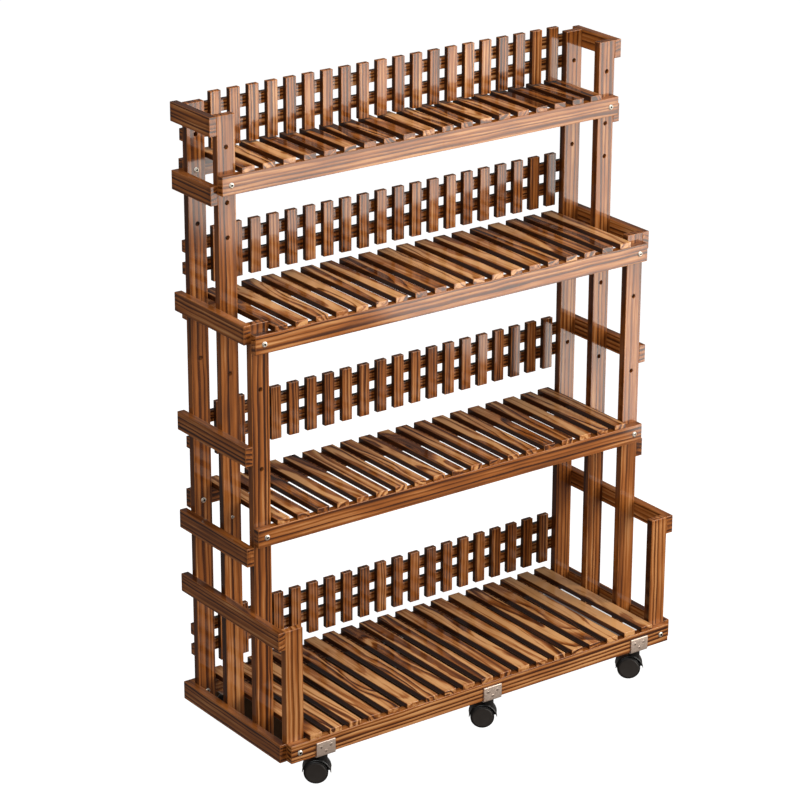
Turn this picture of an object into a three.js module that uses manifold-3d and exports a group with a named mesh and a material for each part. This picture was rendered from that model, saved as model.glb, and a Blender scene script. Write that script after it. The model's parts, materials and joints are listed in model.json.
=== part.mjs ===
// Four-tier flower cart stand of charred softwood boards on six twin-wheel swivel casters.
//
// Two stepped end frames stand left and right. Each has four upright posts, tallest at the rear, tied on
// the outside by seven side rails. Every tier bolts a front rail and a rear rail between the end frames,
// lays a deck of slats on them and screws a low picket fence behind the rear posts.
//
// Millimetres, +Z up, +Y to the rear. The origin is on the floor under the middle of the stand.

import * as THREE from "three";
import { mergeVertices } from "three/addons/utils/BufferGeometryUtils.js";
import Module from "manifold-3d";

const wasm = await Module();
wasm.setup();

// ---- boards -------------------------------------------------------------------------------------
const SHELF_LENGTH = 800;        // over the outer faces of the posts, and the length of every rail
const BOARD_THICKNESS = 13.5;    // posts and rails
const POST_WIDTH = 33.5;
const POST_PITCH = 88;           // from one post to the next, front to rear
const SIDE_RAIL_HEIGHT = 32;
const SHELF_RAIL_HEIGHT = 32;
const HOLE_DIAMETER = 8;         // bolt holes and spare holes

// Posts of one end frame, front to rear. Each ends flush with the top of one side rail.
const POSTS = [
  { name: "front_post", topRail: 2 },
  { name: "middle_post", topRail: 5 },
  { name: "upper_post", topRail: 7 },
  { name: "rear_post", topRail: 7 },
];

// Height of each tier over the one below, and the gap from its slats up to the pickets.
const TIER_2_STEP = 350.5;
const TIER_3_STEP = 330.5;
const TIER_4_STEP = 238;
const FENCE_1_GAP = 21.5;
const FENCE_2_GAP = 47;
const FENCE_3_GAP = 17.5;
const FENCE_4_GAP = 3;

// Tiers from the bottom up, with the post that carries the front rail. A rise is the height of the shelf
// rails' underside above the base that the end frames stand at.
const TIERS = [
  { rise: 0, foremost: "front_post", fenceGap: FENCE_1_GAP },
  { rise: TIER_2_STEP, foremost: "middle_post", fenceGap: FENCE_2_GAP },
  { rise: TIER_2_STEP + TIER_3_STEP, foremost: "middle_post", fenceGap: FENCE_3_GAP },
  { rise: TIER_2_STEP + TIER_3_STEP + TIER_4_STEP, foremost: "upper_post", fenceGap: FENCE_4_GAP },
];
const [TIER_1, TIER_2, TIER_3, TIER_4] = TIERS;

// Side rails: how far the underside of each stands above or below that of its tier's shelf rails.
const SIDE_RAIL_2_LIFT = 200;
const SIDE_RAIL_3_DROP = 34.5;
const SIDE_RAIL_4_LIFT = 140;
const SIDE_RAIL_5_LIFT = 16;
const SIDE_RAIL_6_DROP = 17;
const SIDE_RAIL_7_LIFT = 95.5;

// Side rails from the bottom up, with the foremost post that each reaches.
const SIDE_RAILS = [
  { rise: TIER_1.rise, foremost: "front_post" },
  { rise: TIER_1.rise + SIDE_RAIL_2_LIFT, foremost: "front_post" },
  { rise: TIER_2.rise - SIDE_RAIL_3_DROP, foremost: "middle_post" },
  { rise: TIER_2.rise + SIDE_RAIL_4_LIFT, foremost: "middle_post" },
  { rise: TIER_3.rise + SIDE_RAIL_5_LIFT, foremost: "middle_post" },
  { rise: TIER_4.rise - SIDE_RAIL_6_DROP, foremost: "upper_post" },
  { rise: TIER_4.rise + SIDE_RAIL_7_LIFT, foremost: "upper_post" },
];

// Spare holes for moving a shelf, above the undersides of the shelf rails, in every post that is so tall.
const SPARE_HOLE_1_LIFT = 130;
const SPARE_HOLE_2_LIFT = 266.5;
const SPARE_HOLE_3_LIFT = 164.5;
const SPARE_HOLE_4_LIFT = 222.5;
const SPARE_HOLE_5_LIFT = 75.5;
const SPARE_HOLE_RISES = [
  TIER_2.rise + SPARE_HOLE_1_LIFT,
  TIER_2.rise + SPARE_HOLE_2_LIFT,
  TIER_3.rise + SPARE_HOLE_3_LIFT,
  TIER_3.rise + SPARE_HOLE_4_LIFT,
  TIER_4.rise + SPARE_HOLE_5_LIFT,
];

// ---- slats and pickets --------------------------------------------------------------------------
const SLAT_WIDTH = 24;
const SLAT_THICKNESS = 9.5;
const SLAT_PITCH = 39;
const PICKET_WIDTH = 20;
const PICKET_THICKNESS = 9.5;
const PICKET_LENGTH = 93.5;
const PICKET_PITCH = 36;
const FENCE_RAIL_HEIGHT = 20;
const FENCE_RAIL_THICKNESS = 9.5;
const FENCE_RAIL_SPACING = 37.5;  // between the centre lines of a fence's two rails

// ---- caster plates ------------------------------------------------------------------------------
const PLATE_WIDTH = 37;
const PLATE_THICKNESS = 2.5;
const PLATE_UPSTAND = 24;         // height of the upright leaf against the rail
const PLATE_DEPTH = 24;           // depth of the flat leaf under the rail
const PLATE_SCREW_DIAMETER = 4.2;
const PLATE_SCREW_SPREAD = 19.5;  // between the two upper screws
const PLATE_UPPER_SCREWS = 15;    // above the rail's underside
const PLATE_LOWER_SCREW = 6;

// ---- casters ------------------------------------------------------------------------------------
const CASTER_INSET = 67;          // from the end of a shelf rail to the swivel axis of an outer caster
const CASTER_MIDDLE_OFFSET = 10;  // the middle caster sits a little to the right
const SWIVEL_SETBACK = 12;        // from the rail's outer face to the swivel axis
const SWIVEL_TRAIL = 9;           // from the swivel axis back to the axle
const HEADING = 36;               // degrees that the casters are turned at rest
const WHEEL_RADIUS = 20.5;
const WHEEL_WIDTH = 11;
const WHEEL_SHOULDER = 1.6;
const HUB_RADIUS = 17.9;
const HUB_STEP = 0.9;             // how far the hub disc stands proud of the tread
const AXLE_DROP = 32;             // from the plate's underside down to the axle
const AXLE_RADIUS = 3;
const AXLE_HALF_LENGTH = 11.5;
const HOOD_WIDTH = 28;
const HOOD_WALL = 1.7;
const HOOD_OFFSET = 1.2;          // the hood sits forward of the axle, so its front has more room
const HOOD_SHOULDER = 1.8;
const HOOD_LIP_ANGLE = 22;        // degrees above the axle where the hood's wall starts to thin
const WEB_THICKNESS = 5;          // between the two wheels
const WEB_BOSS_RADIUS = 6.5;
const COLLAR_RADIUS = 10.25;
const STEM_RADIUS = 3.5;
const STEM_HEAD_RADIUS = 5.5;
const STEM_HEAD_HEIGHT = 1.2;

// ---- clearances ---------------------------------------------------------------------------------
const RUNNING_CLEARANCE = 0.4;    // round turning parts
const WHEEL_SIDE_CLEARANCE = 0.5; // wheel to web
const HOOD_CLEARANCE = 2.3;       // wheel to hood, on top

// ---- how many flats stand for a round ------------------------------------------------------------
const HOLE_SIDES = 8;
const PIN_SIDES = 8;
const COLLAR_SIDES = 16;
const WHEEL_SIDES = 24;
const HOOD_SIDES = 20;
const BAY_SIDES = 8;
const WEB_SIDES = 6;
const BEND_SIDES = 4;

// ---- places that follow from the sizes above ----------------------------------------------------
// A wheel stands on one flat of its many-sided tread, so the axle is a true wheel radius above the floor.
const baseHeight = WHEEL_RADIUS + AXLE_DROP + PLATE_THICKNESS;
const frameDepth = POST_PITCH * (POSTS.length - 1) + 3 * BOARD_THICKNESS;
const postCentreX = (SHELF_LENGTH - POST_WIDTH) / 2;
const rearRailBack = frameDepth / 2;
const rearPostBack = rearRailBack - BOARD_THICKNESS;
const clearLength = SHELF_LENGTH - 2 * POST_WIDTH;   // between the two end frames
const boltRise = SHELF_RAIL_HEIGHT / 2;
const outerCasterX = SHELF_LENGTH / 2 - CASTER_INSET;

// Corners are rounded to this grid, so that boards which lie against each other meet exactly.
const GRID = 1 / 4096;

// ---- solids -------------------------------------------------------------------------------------
function solidOf(geometry) {
  const bare = geometry.clone();
  for (const name of ["normal", "uv"]) bare.deleteAttribute(name);
  const merged = mergeVertices(bare, 1e-5);
  const onGrid = (value) => Math.round(value / GRID) * GRID;
  const vertProperties = Float32Array.from(merged.attributes.position.array, onGrid);
  const triVerts = new Uint32Array(merged.index.array);
  return new wasm.Manifold(new wasm.Mesh({ numProp: 3, vertProperties, triVerts }));
}

function geometryOf(solid) {
  const mesh = solid.getMesh();
  const geometry = new THREE.BufferGeometry();
  geometry.setAttribute("position", new THREE.BufferAttribute(new Float32Array(mesh.vertProperties), 3));
  geometry.setIndex(new THREE.BufferAttribute(new Uint32Array(mesh.triVerts), 1));
  geometry.computeVertexNormals();
  return geometry;
}

function joined(geometries) {
  return geometries.map(solidOf).reduce((whole, piece) => whole.add(piece));
}

function cut(geometry, holes) {
  return holes.map(solidOf).reduce((rest, hole) => rest.subtract(hole), solidOf(geometry));
}

function turned(profile, sides, start = 0) {
  return new THREE.LatheGeometry(profile.map(([radius, y]) => new THREE.Vector2(radius, y)), sides, start);
}

// A round bar along y, or upright once it has been turned about x.
function bar(radius, from, to, sides = PIN_SIDES) {
  return turned([[0, from], [radius, from], [radius, to], [0, to]], sides);
}

function materialOf(color, roughness, metalness = 0) {
  return new THREE.MeshStandardMaterial({ color, roughness, metalness });
}

const postWood = () => materialOf(0x7a4320, 0.42);
const railWood = () => materialOf(0x8a4d24, 0.42);
const slatWood = () => materialOf(0x9a6234, 0.45);
const fenceWood = () => materialOf(0x7f4a25, 0.45);
const plateSteel = () => materialOf(0xb9aaa0, 0.4, 0.9);
const hoodPlastic = () => materialOf(0x121110, 0.3);
const wheelPlastic = () => materialOf(0x2c2826, 0.45);

const stand = new THREE.Group();

function place(name, geometry, material, x, y, z) {
  const mesh = new THREE.Mesh(geometry, material);
  mesh.name = name;
  mesh.position.set(x, y, z);
  return mesh;
}

// ---- end frames ---------------------------------------------------------------------------------
function postIndex(name) {
  return POSTS.findIndex((post) => post.name === name);
}

function postFrontFace(name) {
  return -frameDepth / 2 + BOARD_THICKNESS + POST_PITCH * postIndex(name);
}

// A board that stands on edge and faces the front, drilled through from front to rear.
// Its lower edge is at z 0 and it is centred on x 0 and y 0.
function drilledBoard(width, height, thickness, holes) {
  const board = new THREE.BoxGeometry(width, thickness, height).translate(0, 0, height / 2);
  const drill = ([x, z]) => bar(HOLE_DIAMETER / 2, -thickness, thickness, HOLE_SIDES).translate(x, 0, z);
  return geometryOf(cut(board, holes.map(drill)));
}

// The rear posts carry every rear rail, and each front rail has its own foremost post.
function boltRisesOf(name) {
  const isRear = name === POSTS[POSTS.length - 1].name;
  return TIERS.filter((tier) => isRear || tier.foremost === name).map((tier) => tier.rise + boltRise);
}

function addPost(side, sign, post) {
  const height = SIDE_RAILS[post.topRail - 1].rise + SIDE_RAIL_HEIGHT;
  const spare = SPARE_HOLE_RISES.filter((rise) => rise < height - POST_WIDTH);
  const holes = [...boltRisesOf(post.name), ...spare].map((rise) => [0, rise]);
  const geometry = drilledBoard(POST_WIDTH, height, BOARD_THICKNESS, holes);
  const y = postFrontFace(post.name) + BOARD_THICKNESS / 2;
  stand.add(place(`${side}_${post.name}`, geometry, postWood(), sign * postCentreX, y, baseHeight));
}

function addSideRail(side, sign, rail, number) {
  const front = postFrontFace(rail.foremost);
  const length = rearRailBack - front;
  const geometry = new THREE.BoxGeometry(BOARD_THICKNESS, length, SIDE_RAIL_HEIGHT);
  const x = sign * (SHELF_LENGTH + BOARD_THICKNESS) / 2;
  const z = baseHeight + rail.rise + SIDE_RAIL_HEIGHT / 2;
  stand.add(place(`${side}_side_rail_${number}`, geometry, railWood(), x, front + length / 2, z));
}

for (const [side, sign] of [["left", -1], ["right", 1]]) {
  for (const post of POSTS) addPost(side, sign, post);
  SIDE_RAILS.forEach((rail, index) => addSideRail(side, sign, rail, index + 1));
}

// ---- shelves ------------------------------------------------------------------------------------
function shelfRail() {
  const holes = [[-postCentreX, boltRise], [postCentreX, boltRise]];
  return drilledBoard(SHELF_LENGTH, SHELF_RAIL_HEIGHT, BOARD_THICKNESS, holes);
}

// As many boards of one width as fit side by side between the end frames.
function rowOf(width, pitch, makeOne) {
  const count = Math.floor((clearLength - width) / pitch) + 1;
  return Array.from({ length: count }, (_, index) => makeOne((index - (count - 1) / 2) * pitch));
}

// Slats nailed down on their rear rail. Local origin: rail tops, on the rails' rear face.
function deckGeometry(depth) {
  const slats = rowOf(SLAT_WIDTH, SLAT_PITCH, (x) => {
    const slat = new THREE.BoxGeometry(SLAT_WIDTH, depth, SLAT_THICKNESS);
    return slat.translate(x, -depth / 2, SLAT_THICKNESS / 2);
  });
  const rail = shelfRail().translate(0, -BOARD_THICKNESS / 2, -SHELF_RAIL_HEIGHT);
  return geometryOf(joined([rail, ...slats]));
}

// Pickets nailed on two rails. Local origin: foot of the pickets, on the faces that meet the rails.
function fenceGeometry() {
  const pickets = rowOf(PICKET_WIDTH, PICKET_PITCH, (x) => {
    const picket = new THREE.BoxGeometry(PICKET_WIDTH, PICKET_THICKNESS, PICKET_LENGTH);
    return picket.translate(x, -PICKET_THICKNESS / 2, PICKET_LENGTH / 2);
  });
  const rails = [-1, 1].map((sign) => {
    const rail = new THREE.BoxGeometry(SHELF_LENGTH, FENCE_RAIL_THICKNESS, FENCE_RAIL_HEIGHT);
    const z = (PICKET_LENGTH + sign * FENCE_RAIL_SPACING) / 2;
    return rail.translate(0, FENCE_RAIL_THICKNESS / 2, z);
  });
  return geometryOf(joined([...rails, ...pickets]));
}

TIERS.forEach((tier, index) => {
  const name = `tier_${index + 1}`;
  const underside = baseHeight + tier.rise;
  const railTop = underside + SHELF_RAIL_HEIGHT;
  const railFront = postFrontFace(tier.foremost) - BOARD_THICKNESS;
  const depth = rearRailBack - railFront;
  stand.add(place(`${name}_front_rail`, shelfRail(), railWood(), 0, railFront + BOARD_THICKNESS / 2, underside));
  stand.add(place(`${name}_slat_deck`, deckGeometry(depth), slatWood(), 0, rearRailBack, railTop));
  const fenceFoot = railTop + SLAT_THICKNESS + tier.fenceGap;
  stand.add(place(`${name}_picket_fence`, fenceGeometry(), fenceWood(), 0, rearPostBack, fenceFoot));
});

// ---- casters ------------------------------------------------------------------------------------
// The riveted head and shank of the swivel stem, standing on z 0 at the plate's underside. The hole for
// it is the same shape, wider all round by extra and open at the top.
function stemGeometry(extra, below, openTop) {
  const headBase = PLATE_THICKNESS - STEM_HEAD_HEIGHT - RUNNING_CLEARANCE;
  const headTop = PLATE_THICKNESS - RUNNING_CLEARANCE;
  const profile = [
    [0, -below],
    [STEM_RADIUS + extra, -below],
    [STEM_RADIUS + extra, headBase],
    [STEM_HEAD_RADIUS + extra, headTop],
  ];
  if (openTop) profile.push([STEM_HEAD_RADIUS + extra, 2 * PLATE_THICKNESS], [0, 2 * PLATE_THICKNESS]);
  else profile.push([0, headTop]);
  return turned(profile, PIN_SIDES).rotateX(Math.PI / 2);
}

// Angle plate: an upright leaf on the rail's outer face and a flat leaf under the rail.
// Local origin: the rail's lower outer edge. The flat leaf runs towards +y.
function plateGeometry() {
  const bend = PLATE_THICKNESS;
  const outline = new THREE.Shape();
  outline.moveTo(PLATE_DEPTH, 0);
  outline.lineTo(0, 0);
  outline.lineTo(0, PLATE_UPSTAND);
  outline.lineTo(-PLATE_THICKNESS, PLATE_UPSTAND);
  outline.lineTo(-PLATE_THICKNESS, 0);
  outline.absarc(-PLATE_THICKNESS + bend, -PLATE_THICKNESS + bend, bend, Math.PI, Math.PI * 1.5, false);
  outline.lineTo(PLATE_DEPTH, -PLATE_THICKNESS);
  outline.closePath();
  const options = { depth: PLATE_WIDTH, bevelEnabled: false, curveSegments: BEND_SIDES / 2 };
  const leaves = new THREE.ExtrudeGeometry(outline, options);
  leaves.translate(0, 0, -PLATE_WIDTH / 2);
  leaves.rotateX(Math.PI / 2).rotateZ(Math.PI / 2);
  const screwHole = (x, z) => {
    const hole = bar(PLATE_SCREW_DIAMETER / 2, -2 * PLATE_THICKNESS, PLATE_THICKNESS, HOLE_SIDES);
    return hole.translate(x, 0, z);
  };
  const holes = [
    screwHole(-PLATE_SCREW_SPREAD / 2, PLATE_UPPER_SCREWS),
    screwHole(PLATE_SCREW_SPREAD / 2, PLATE_UPPER_SCREWS),
    screwHole(0, PLATE_LOWER_SCREW),
    stemGeometry(RUNNING_CLEARANCE, PLATE_THICKNESS, true)
      .translate(0, SWIVEL_SETBACK, -PLATE_THICKNESS),
  ];
  return geometryOf(cut(leaves, holes));
}

// One moulding: collar, hood and the web between the wheels, with the stem and the axle pressed in.
// Local origin: the swivel axis at the plate's underside. x is the way that it rolls, y is the axle.
function hoodGeometry() {
  const outer = WHEEL_RADIUS + HOOD_CLEARANCE + HOOD_WALL;
  const inner = WHEEL_RADIUS + HOOD_CLEARANCE;
  const half = HOOD_WIDTH / 2;
  const barrel = turned(
    [
      [0, -half],
      [outer - HOOD_SHOULDER, -half],
      [outer, -half + HOOD_SHOULDER],
      [outer, half - HOOD_SHOULDER],
      [outer - HOOD_SHOULDER, half],
      [0, half],
    ],
    HOOD_SIDES,
  ).translate(-SWIVEL_TRAIL + HOOD_OFFSET, 0, -AXLE_DROP);
  const collar = bar(COLLAR_RADIUS, -AXLE_DROP, -RUNNING_CLEARANCE, COLLAR_SIDES).rotateX(Math.PI / 2);
  const shell = solidOf(barrel)
    .add(solidOf(collar))
    .subtract(solidOf(wheelBay(inner, outer)))
    .subtract(solidOf(belowAxle(outer)));
  const web = solidOf(webGeometry(inner + HOOD_WALL / 2));
  const axle = bar(AXLE_RADIUS, -AXLE_HALF_LENGTH, AXLE_HALF_LENGTH).translate(-SWIVEL_TRAIL, 0, -AXLE_DROP);
  const stem = stemGeometry(0, 2 * PLATE_THICKNESS, false);
  return geometryOf(shell.add(web).add(solidOf(axle)).add(solidOf(stem)));
}

// The space for the wheels: round on top, flaring at the foot so that the hood ends in thin lips.
function wheelBay(inner, outer) {
  const lip = THREE.MathUtils.degToRad(HOOD_LIP_ANGLE);
  const bay = new THREE.Shape();
  bay.moveTo(outer - HOOD_WALL / 4, 0);
  bay.absarc(0, 0, inner, lip, Math.PI - lip, false);
  bay.lineTo(-outer + HOOD_WALL / 4, 0);
  bay.lineTo(-outer + HOOD_WALL / 4, -inner);
  bay.lineTo(outer - HOOD_WALL / 4, -inner);
  bay.closePath();
  const options = { depth: 2 * HOOD_WIDTH, bevelEnabled: false, curveSegments: BAY_SIDES / 2 };
  const geometry = new THREE.ExtrudeGeometry(bay, options);
  geometry.translate(0, 0, -HOOD_WIDTH).rotateX(Math.PI / 2);
  return geometry.translate(-SWIVEL_TRAIL + HOOD_OFFSET, 0, -AXLE_DROP);
}

function belowAxle(outer) {
  const block = new THREE.BoxGeometry(4 * outer, 2 * HOOD_WIDTH, 2 * outer);
  return block.translate(-SWIVEL_TRAIL, 0, -AXLE_DROP - outer);
}

// The web fills the hood's middle above the axle and ends in a round boss below it.
function webGeometry(radius) {
  const web = new THREE.Shape();
  web.absarc(HOOD_OFFSET, 0, radius, 0, Math.PI, false);
  web.lineTo(-WEB_BOSS_RADIUS, 0);
  web.absarc(0, 0, WEB_BOSS_RADIUS, Math.PI, Math.PI * 2, false);
  web.closePath();
  const options = { depth: WEB_THICKNESS, bevelEnabled: false, curveSegments: WEB_SIDES / 2 };
  const geometry = new THREE.ExtrudeGeometry(web, options);
  geometry.translate(0, 0, -WEB_THICKNESS / 2).rotateX(Math.PI / 2);
  return geometry.translate(-SWIVEL_TRAIL, 0, -AXLE_DROP);
}

// A wheel with a proud hub disc outside and a blind bore inside. It faces +y from its inner side at y 0.
function wheelGeometry() {
  const tread = WHEEL_RADIUS / Math.cos(Math.PI / WHEEL_SIDES);
  const bore = AXLE_RADIUS + RUNNING_CLEARANCE;
  const boreDepth = AXLE_HALF_LENGTH + RUNNING_CLEARANCE - WEB_THICKNESS / 2 - WHEEL_SIDE_CLEARANCE;
  const treadFace = WHEEL_WIDTH - HUB_STEP;
  const profile = [
    [0, boreDepth],
    [bore, boreDepth],
    [bore, 0],
    [tread, 0],
    [tread, treadFace - WHEEL_SHOULDER],
    [tread - WHEEL_SHOULDER, treadFace],
    [HUB_RADIUS, treadFace],
    [HUB_RADIUS - HUB_STEP, WHEEL_WIDTH],
    [0, WHEEL_WIDTH],
  ];
  return turned(profile, WHEEL_SIDES, Math.PI / WHEEL_SIDES);
}

function addCaster(name, x, facing) {
  const railFace = facing * frameDepth / 2;
  const inward = -facing;
  const plate = place(`${name}_caster_plate`, plateGeometry(), plateSteel(), x, railFace, baseHeight);
  plate.rotation.z = facing > 0 ? Math.PI : 0;
  stand.add(plate);

  const caster = new THREE.Group();
  caster.position.set(x, railFace + inward * SWIVEL_SETBACK, baseHeight - PLATE_THICKNESS);
  caster.rotation.z = -inward * THREE.MathUtils.degToRad(HEADING);
  caster.add(place(`${name}_caster_hood`, hoodGeometry(), hoodPlastic(), 0, 0, 0));
  const wheelInner = WEB_THICKNESS / 2 + WHEEL_SIDE_CLEARANCE;
  for (const [number, sign] of [[1, -1], [2, 1]]) {
    const wheelName = `${name}_caster_wheel_${number}`;
    const wheel = place(wheelName, wheelGeometry(), wheelPlastic(), -SWIVEL_TRAIL, sign * wheelInner, -AXLE_DROP);
    wheel.rotation.z = sign < 0 ? Math.PI : 0;
    caster.add(wheel);
  }
  stand.add(caster);
}

for (const [row, facing] of [["front", -1], ["rear", 1]]) {
  addCaster(`${row}_left`, -outerCasterX, facing);
  addCaster(`${row}_middle`, CASTER_MIDDLE_OFFSET, facing);
  addCaster(`${row}_right`, outerCasterX, facing);
}

export default stand;
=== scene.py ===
"""Flower cart stand: the finish of every board, its bolts and its casters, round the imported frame."""

import json
import math
import random

import bmesh
import bpy
from bpy.props import FloatProperty, FloatVectorProperty, PointerProperty
from mathutils import Matrix, Vector


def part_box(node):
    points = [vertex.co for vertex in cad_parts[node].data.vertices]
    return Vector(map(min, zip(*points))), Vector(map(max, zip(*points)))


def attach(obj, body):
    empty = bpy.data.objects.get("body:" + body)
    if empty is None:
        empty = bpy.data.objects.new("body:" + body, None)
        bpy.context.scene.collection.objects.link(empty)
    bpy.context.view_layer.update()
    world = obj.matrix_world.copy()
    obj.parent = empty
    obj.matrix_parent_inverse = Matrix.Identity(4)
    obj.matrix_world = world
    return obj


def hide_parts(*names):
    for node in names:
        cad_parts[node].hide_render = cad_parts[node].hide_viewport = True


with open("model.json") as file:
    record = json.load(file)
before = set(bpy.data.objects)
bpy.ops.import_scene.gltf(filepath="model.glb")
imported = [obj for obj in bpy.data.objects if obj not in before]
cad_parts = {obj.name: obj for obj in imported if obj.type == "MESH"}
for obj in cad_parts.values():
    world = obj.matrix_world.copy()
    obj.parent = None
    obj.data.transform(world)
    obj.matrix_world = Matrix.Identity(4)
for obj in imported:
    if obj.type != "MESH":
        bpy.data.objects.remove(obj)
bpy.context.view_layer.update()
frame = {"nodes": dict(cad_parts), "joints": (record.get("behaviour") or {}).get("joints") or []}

bl_info = {
    "name": "Flower cart stand",
    "version": (1, 0, 0),
    "blender": (4, 5, 0),
    "location": "3D View > Sidebar > Flower cart",
    "description": "Builds a four-tier flower cart stand of charred, varnished boards on swivel casters",
    "category": "Object",
}

SIDES = ("left", "right")
ROWS = ("front", "rear")
PLACES = ("left", "middle", "right")
POST_NAMES = ("front_post", "middle_post", "upper_post", "rear_post")
SIDE_RAIL_COUNT = 7
TIERS = (1, 2, 3, 4)
JOINTS = {joint["name"]: joint for joint in frame["joints"]}

# How dark each board was charred, from nought for pale to one for dark.
POST_TONES = {"front_post": 0.25, "middle_post": 0.6, "upper_post": 0.55, "rear_post": 0.6}
RAIL_TONES = {1: 0.1, 2: 0.55, 3: 0.35, 4: 0.3}
# The lowest tier's slats are drawn paler: painted light that stands in for the light which the decks above
# keep off them.
SLAT_TONES_WITH_PAINTED_LIGHT = {1: (-0.45, 0.75), 2: (-0.1, 0.9), 3: (-0.1, 0.9), 4: (0.0, 0.9)}

# The layers of the grain, in features a metre: along it, across it and through it.
DRIFT = (8, 26, 26)
SWIRL = (19, 70, 70)
KNOTS = (5, 15, 15)
FIBRES = (16, 620, 620)
STREAKS = (5, 150, 150)
BLOTCHES = (7, 34, 34)

# Where the shadow of the lowest deck on the floor starts, is full, starts to fade and ends.
SHADOW_X = (-0.335, -0.305, 0.40, 0.50)
SHADOW_Y = (-0.055, -0.01, 0.27, 0.31)

# Flats round a turned piece.
BARREL_FLATS = 96
COLLAR_FLATS = 48
HEAD_FLATS = 32
BORE_FLATS = 24
HEXAGON = 6
SHARP_ANGLE = math.radians(32)
# Near black, as painted shade at the bottom of a bolt's socket or a screw's slot.
SOCKET_SHADE = (0.01, 0.007, 0.005)
PLASTIC_GRAIN = 0.0003

X_AXIS = Vector((1, 0, 0))
Y_AXIS = Vector((0, 1, 0))
Z_AXIS = Vector((0, 0, 1))


def shade(code):
    """The linear colour of a six-digit screen colour."""
    parts = [int(code[at:at + 2], 16) / 255 for at in (0, 2, 4)]
    return tuple(v / 12.92 if v <= 0.04045 else ((v + 0.055) / 1.055) ** 2.4 for v in parts)


# ---- what a user would change ----


def length(name, description, default):
    return FloatProperty(name=name, description=description, default=default, unit="LENGTH", precision=5)


def amount(name, description, default, least=0, most=1000):
    return FloatProperty(name=name, description=description, default=default, min=least, max=most)


def angle(name, description, default):
    return FloatProperty(name=name, description=description, default=default, unit="ROTATION")


def colour(name, description, code):
    return FloatVectorProperty(
        name=name, description=description, default=shade(code), subtype="COLOR", size=3, min=0, max=1
    )


class BoardSettings(bpy.types.PropertyGroup):
    rounding: length("Edge rounding", "Radius along every edge of a board", 0.0008)
    hole_diameter: length("Hole diameter", "Bolt holes and spare holes", 0.008)
    slat_width: length("Slat width", "Width of a shelf slat", 0.024)
    slat_thickness: length("Slat thickness", "Thickness of a shelf slat", 0.0095)
    slat_pitch: length("Slat pitch", "From one slat to the next", 0.039)
    picket_width: length("Picket width", "Width of a picket", 0.020)
    picket_thickness: length("Picket thickness", "Thickness of a picket", 0.0095)
    picket_pitch: length("Picket pitch", "From one picket to the next", 0.036)
    fence_rail_height: length("Fence rail height", "Height of the two rails behind the pickets", 0.020)
    fence_rail_spacing: length("Fence rail spacing", "Between the centre lines of the two rails", 0.0375)


class FastenerSettings(bpy.types.PropertyGroup):
    head_radius: length("Bolt head radius", "Button heads on the rails and rear posts", 0.0048)
    head_height: length("Bolt head height", "How far a button head stands proud", 0.0022)
    socket_radius: length("Socket radius", "Over the corners of the six-sided socket", 0.0024)
    bolt_radius: length("Bolt radius", "Thread of the rail bolts", 0.003)
    washer_radius: length("Washer radius", "Under each nut", 0.0060)
    washer_height: length("Washer thickness", "Under each nut", 0.0011)
    nut_radius: length("Nut radius", "Over the corners of a nut", 0.0056)
    nut_height: length("Nut height", "Thickness of a nut", 0.0032)
    screw_radius: length("Plate screw radius", "Heads on the caster plates", 0.0029)
    screw_height: length("Plate screw height", "How far a plate screw stands proud", 0.0005)
    screw_spread: length("Plate screw spread", "Between the two upper screws of a plate", 0.0195)
    upper_screws: length("Upper plate screws", "Above the rail's underside", 0.015)
    lower_screw: length("Lower plate screw", "Above the rail's underside", 0.006)


class CasterSettings(bpy.types.PropertyGroup):
    wheel_radius: length("Wheel radius", "Tread radius", 0.0205)
    wheel_width: length("Wheel width", "From the inner face to the hub's face", 0.011)
    tread_rounding: length("Tread rounding", "Radius of the tread's outer shoulder", 0.0026)
    hub_radius: length("Hub radius", "Radius of the disc in the wheel's face", 0.0177)
    hub_step: length("Hub step", "How far the hub stands proud of the tread", 0.0009)
    axle_radius: length("Axle radius", "Steel pin through both wheels", 0.003)
    axle_half: length("Half axle", "From the middle to either end of the axle", 0.0115)
    swivel_trail: length("Swivel trail", "From the swivel axis back to the axle", 0.009)
    axle_drop: length("Axle drop", "From the plate's underside to the axle", 0.032)
    hood_radius: length("Hood radius", "Outer radius of the hood", 0.0242)
    hood_wall: length("Hood wall", "Thickness of the hood", 0.0017)
    hood_width: length("Hood width", "Over both wheels", 0.028)
    hood_offset: length("Hood offset", "How far the hood sits forward of the axle", 0.0012)
    hood_shoulder: length("Hood shoulder", "Radius of the hood's two rims", 0.0026)
    web_thickness: length("Web thickness", "Between the two wheels", 0.005)
    boss_radius: length("Boss radius", "Round the axle", 0.0065)
    collar_radius: length("Collar radius", "Under the plate", 0.01025)
    stem_radius: length("Stem radius", "Shank of the riveted stem", 0.0035)
    stem_head_radius: length("Stem head radius", "Flared head of the stem", 0.0055)
    plate_thickness: length("Plate thickness", "Sheet steel of the angle plate", 0.0025)
    clearance: length("Running clearance", "Round turning parts", 0.0004)
    side_clearance: length("Wheel clearance", "From wheel to web", 0.0005)


class WoodSettings(bpy.types.PropertyGroup):
    pale: colour("Pale wood", "Clear stripes between the rings", "d49c64")
    warm: colour("Warm wood", "Most of the face", "9c5a24")
    brown: colour("Brown wood", "Scorched rings", "542809")
    burnt: colour("Burnt wood", "Knots and the darkest lines", "341706")
    edge: colour("Worn edge", "Arrises where the scorch is brushed off", "b87238")
    coat_roughness: amount("Varnish roughness", "Of the clear coat", 0.09, 0, 1)
    coat_index: amount("Varnish index", "Refractive index of the clear coat", 1.45, 1, 2)


class FinishSettings(bpy.types.PropertyGroup):
    zinc: colour("Zinc", "Brushed caster plates", "dccabc")
    bolt: colour("Bolt", "Yellow-white passivated bolts", "e8e2d6")
    hood: colour("Hood plastic", "Moulded hoods", "0e0d0d")
    wheel: colour("Wheel plastic", "Treads", "151312")
    hub: colour("Hub plastic", "Discs in the wheels", "2c2825")


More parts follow.
